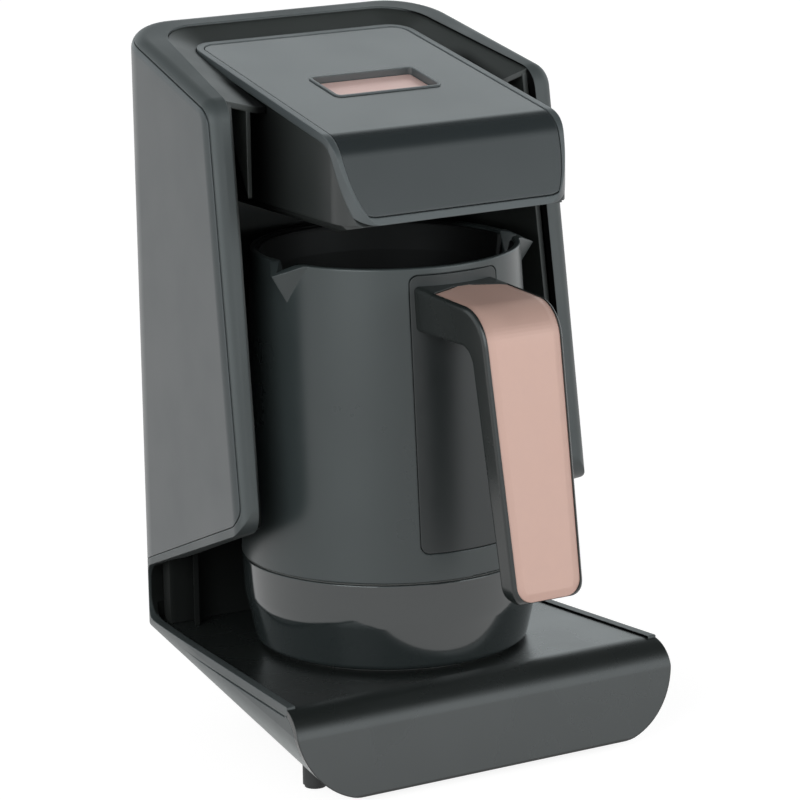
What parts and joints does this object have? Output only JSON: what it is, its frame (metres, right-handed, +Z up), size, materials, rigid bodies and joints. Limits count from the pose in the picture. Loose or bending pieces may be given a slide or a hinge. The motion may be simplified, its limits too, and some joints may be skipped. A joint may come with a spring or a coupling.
{
  "type": "electric turkish coffee maker",
  "caption": "Upright coffee maker: C-shaped stand with an overhanging sensor head and start button, and a heated jug with a copper-faced handle that lifts off a keyed base.",
  "frame": {"origin": "bottom centre of the whole object's bounding box, on the surface it stands on", "axes": "+Z up, front and jug handle towards -Y, back wall towards +Y, +X to the right seen from the front"},
  "size_m": [0.15, 0.1794, 0.2459],
  "materials": {
    "housing_black": "fine satin moulding",
    "panel_grey": "smooth satin grey",
    "liner_black": "satin",
    "deck_black": "polished",
    "head_black": "semi-gloss",
    "head_rim_grey": "semi-gloss",
    "head_panel_grey": "polished grey",
    "jug_black": "semi-gloss",
    "plate_dark": "satin",
    "handle_black": "polished",
    "copper": "satin copper",
    "pot_coating": "matt non-stick coating",
    "screw_steel": "zinc plated",
    "aluminium": "cast",
    "contact_brass": "plain",
    "rubber_black": "matt",
    "silicone_grey": "matt",
    "nylon_black": "satin",
    "nylon_white": "satin",
    "board_green": "lacquered",
    "part_blue": "moulded",
    "coil_yellow": "tape",
    "lamp_white": "clear resin",
    "clear_plastic": "clear",
    "wire_white": "sleeved"
  },
  "bodies": {
    "stand": {"main_housing": "housing_black", "side_panel_left": "panel_grey", "side_panel_right": "panel_grey", "column_liner": "liner_black", "base_deck": "deck_black", "bottom_plinth": "housing_black", "plinth_screws": "screw_steel", "front_feet": "rubber_black", "rear_feet": "rubber_black", "rest_pad": "silicone_grey", "coupling_base": "nylon_black", "coupling_contacts": "contact_brass", "coupling_screws": "screw_steel", "power_board": "board_green", "board_screws": "screw_steel", "relay": "part_blue", "transformer": "coil_yellow", "filter_parts": "nylon_black", "buzzer": "nylon_black", "internal_harness": "wire_white", "cord_gland": "rubber_black", "cord_clamp": "nylon_black", "head_housing": "head_black", "head_rim": "head_rim_grey", "head_top_panel": "head_panel_grey", "window_bezel": "head_rim_grey", "button_guide": "nylon_white", "user_board": "board_green", "tact_switch": "nylon_black", "indicator_lamps": "lamp_white", "light_pipe": "clear_plastic", "boil_sensor": "aluminium", "sensor_window": "clear_plastic", "head_screws": "screw_steel", "column_screws": "screw_steel", "button_spring": "screw_steel"},
    "start_button": {"start_button": "copper"},
    "jug": {"jug_shell": "jug_black", "inner_pot": "pot_coating", "pot_carrier": "nylon_black", "handle_mount_plate": "plate_dark", "seam_gasket": "silicone_grey", "bottom_cup": "jug_black", "heating_plate": "aluminium", "heating_element": "screw_steel", "thermostat": "nylon_white", "jug_coupling": "nylon_black", "socket_contacts": "contact_brass", "cup_screws": "screw_steel", "handle_body": "handle_black", "handle_inlay": "copper", "handle_insert": "aluminium", "handle_screws": "screw_steel"}
  },
  "joints": [
    {"name": "jug_lift", "type": "slide", "parent": "stand", "child": "jug", "axis": [0, 0, 1], "range_m": [0, 0.012]},
    {"name": "button_press", "type": "slide", "parent": "stand", "child": "start_button", "axis": [0, 0.1999, -0.9798], "range_m": [0, 0.0012], "stiffness_N_per_m": 900, "springref_m": -0.001, "deforming": ["button_spring"]}
  ]
}
